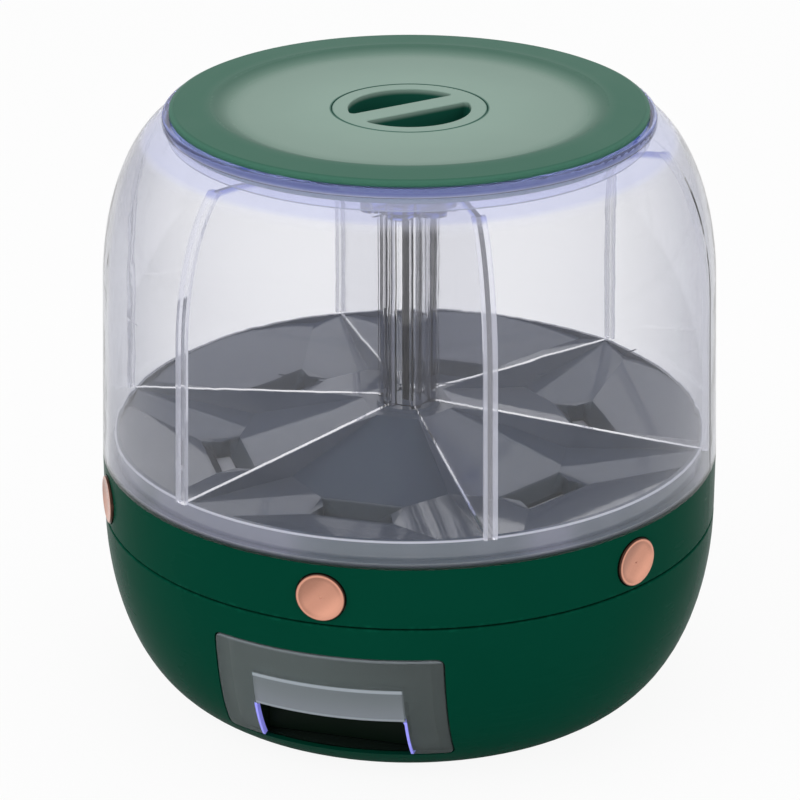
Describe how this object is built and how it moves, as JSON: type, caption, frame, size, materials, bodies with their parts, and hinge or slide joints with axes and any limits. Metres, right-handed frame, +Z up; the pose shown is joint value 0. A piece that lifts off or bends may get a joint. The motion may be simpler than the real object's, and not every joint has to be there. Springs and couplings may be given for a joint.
{
  "type": "divided rice storage box",
  "caption": "Rotating grain dispenser: clear domed bin with radial compartments on a green button ring, bowl base with drawer, dished lid with twist grip.",
  "frame": {"origin": "on the floor, on the turning axis of the bin", "axes": "+Z up along the turning axis, the drawer faces -Y, the first divider lies along +X"},
  "size_m": [0.31, 0.3124, 0.3044],
  "materials": {
    "lid_green": "satin",
    "green_plastic": "satin gloss",
    "clear_plastic": "clear",
    "smoke_plastic": "smoky clear",
    "grey_plastic": "satin",
    "white_plastic": "matte",
    "copper_plastic": "metallised",
    "dark_steel": "dark",
    "steel": "bright",
    "silicone": "matte",
    "rubber": "matte"
  },
  "bodies": {
    "base": {"base_bowl": "green_plastic", "feet": "rubber", "deck": "grey_plastic", "deck_screws": "steel", "pivot_washer": "steel", "pivot_screw": "steel", "drawer_sleeve": "grey_plastic", "sleeve_screws": "steel"},
    "bin": {"bin_shell": "clear_plastic", "centre_column": "clear_plastic", "tie_nut": "clear_plastic", "tie_rod": "dark_steel", "hopper": "grey_plastic", "button_ring": "green_plastic", "turntable_plate": "grey_plastic", "plate_screws": "steel", "divider_1": "clear_plastic", "divider_2": "clear_plastic", "divider_3": "clear_plastic", "divider_4": "clear_plastic", "divider_5": "clear_plastic", "divider_6": "clear_plastic", "spout_1": "grey_plastic", "spout_2": "grey_plastic", "spout_3": "grey_plastic", "spout_4": "grey_plastic", "spout_5": "grey_plastic", "spout_6": "grey_plastic", "spring_1": "steel", "spring_2": "steel", "spring_3": "steel", "spring_4": "steel", "spring_5": "steel", "spring_6": "steel"},
    "cage": {"bearing_cage": "white_plastic", "bearing_balls": "steel"},
    "lid": {"lid": "lid_green", "lid_seal": "silicone"},
    "cap": {"grip_cap": "lid_green"},
    "drawer": {"drawer_box": "smoke_plastic", "drawer_front": "smoke_plastic"},
    "button_1": {"button_1": "copper_plastic", "gate_1": "white_plastic"},
    "button_2": {"button_2": "copper_plastic", "gate_2": "white_plastic"},
    "button_3": {"button_3": "copper_plastic", "gate_3": "white_plastic"},
    "button_4": {"button_4": "copper_plastic", "gate_4": "white_plastic"},
    "button_5": {"button_5": "copper_plastic", "gate_5": "white_plastic"},
    "button_6": {"button_6": "copper_plastic", "gate_6": "white_plastic"}
  },
  "joints": [
    {"name": "bin_turn", "type": "hinge", "parent": "base", "child": "bin", "pos_m": [0, 0, 0.0973], "axis": [0, 0, 1], "continuous": true},
    {"name": "cage_turn", "type": "hinge", "parent": "base", "child": "cage", "pos_m": [0, 0, 0.0946], "axis": [0, 0, 1], "continuous": true},
    {"name": "lid_lift", "type": "slide", "parent": "bin", "child": "lid", "axis": [0, 0, 1], "range_m": [0, 0.2]},
    {"name": "cap_twist", "type": "hinge", "parent": "lid", "child": "cap", "pos_m": [0, 0, 0.3013], "axis": [0, 0, 1], "range_deg": [0, 45]},
    {"name": "drawer_slide", "type": "slide", "parent": "base", "child": "drawer", "axis": [0, -1, 0], "range_m": [0, 0.07]},
    {"name": "button_1_press", "type": "slide", "parent": "bin", "child": "button_1", "axis": [0, 1, 0], "range_m": [0, 0.009], "stiffness_N_per_m": 400, "springref_m": -0.004, "deforming": ["spring_1"]},
    {"name": "button_2_press", "type": "slide", "parent": "bin", "child": "button_2", "axis": [-0.866, 0.5, 0], "range_m": [0, 0.009], "stiffness_N_per_m": 400, "springref_m": -0.004, "deforming": ["spring_2"]},
    {"name": "button_3_press", "type": "slide", "parent": "bin", "child": "button_3", "axis": [-0.866, -0.5, 0], "range_m": [0, 0.009], "stiffness_N_per_m": 400, "springref_m": -0.004, "deforming": ["spring_3"]},
    {"name": "button_4_press", "type": "slide", "parent": "bin", "child": "button_4", "axis": [0, -1, 0], "range_m": [0, 0.009], "stiffness_N_per_m": 400, "springref_m": -0.004, "deforming": ["spring_4"]},
    {"name": "button_5_press", "type": "slide", "parent": "bin", "child": "button_5", "axis": [0.866, -0.5, 0], "range_m": [0, 0.009], "stiffness_N_per_m": 400, "springref_m": -0.004, "deforming": ["spring_5"]},
    {"name": "button_6_press", "type": "slide", "parent": "bin", "child": "button_6", "axis": [0.866, 0.5, 0], "range_m": [0, 0.009], "stiffness_N_per_m": 400, "springref_m": -0.004, "deforming": ["spring_6"]}
  ],
  "couplings": [
    {"joint": "cage_turn", "follows": "bin_turn", "ratio": 0.5}
  ]
}
